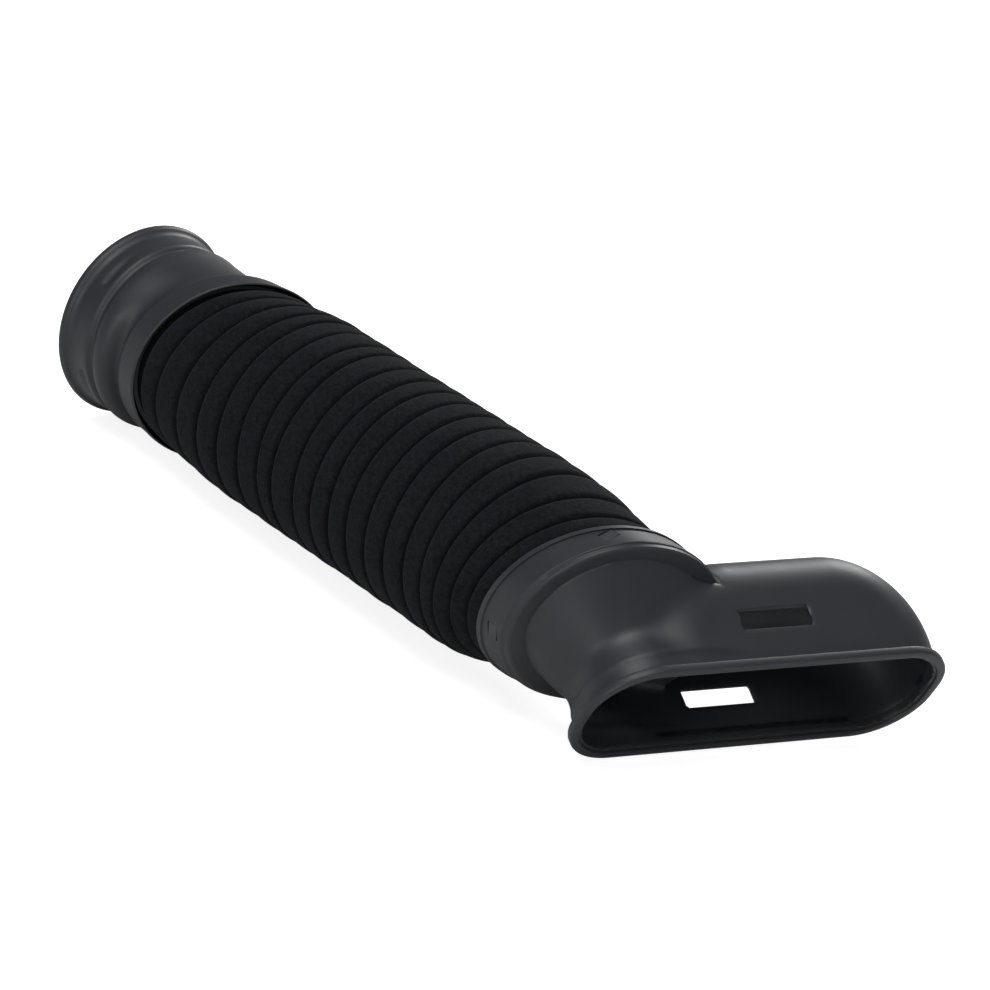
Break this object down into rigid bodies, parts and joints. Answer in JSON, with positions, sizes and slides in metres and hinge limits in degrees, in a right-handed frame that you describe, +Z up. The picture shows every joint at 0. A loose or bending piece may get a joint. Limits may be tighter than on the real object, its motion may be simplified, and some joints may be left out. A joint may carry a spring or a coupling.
{
  "type": "air intake hose",
  "caption": "Convoluted black fleece hose with a round push-on cuff at one end and a flat, offset inlet nozzle at the other, for leading cold air to an engine's filter box.",
  "frame": {"origin": "middle of the overall box, on the surface that the hose lies on", "axes": "+X along the hose from the round cuff to the nozzle, +Z up, +Y to the side that the flat mouth reaches to"},
  "size_m": [0.392, 0.1784, 0.0965],
  "materials": {
    "fleece": "needled polyester fleece, matt with a fine fuzz",
    "moulding": "satin moulded polypropylene",
    "ring": "satin moulded polyamide"
  },
  "bodies": {
    "root": {"hose_sleeve": "fleece", "round_cuff": "moulding", "inlet_nozzle": "moulding", "cuff_retaining_ring": "ring", "nozzle_retaining_ring": "ring"}
  },
  "joints": []
}
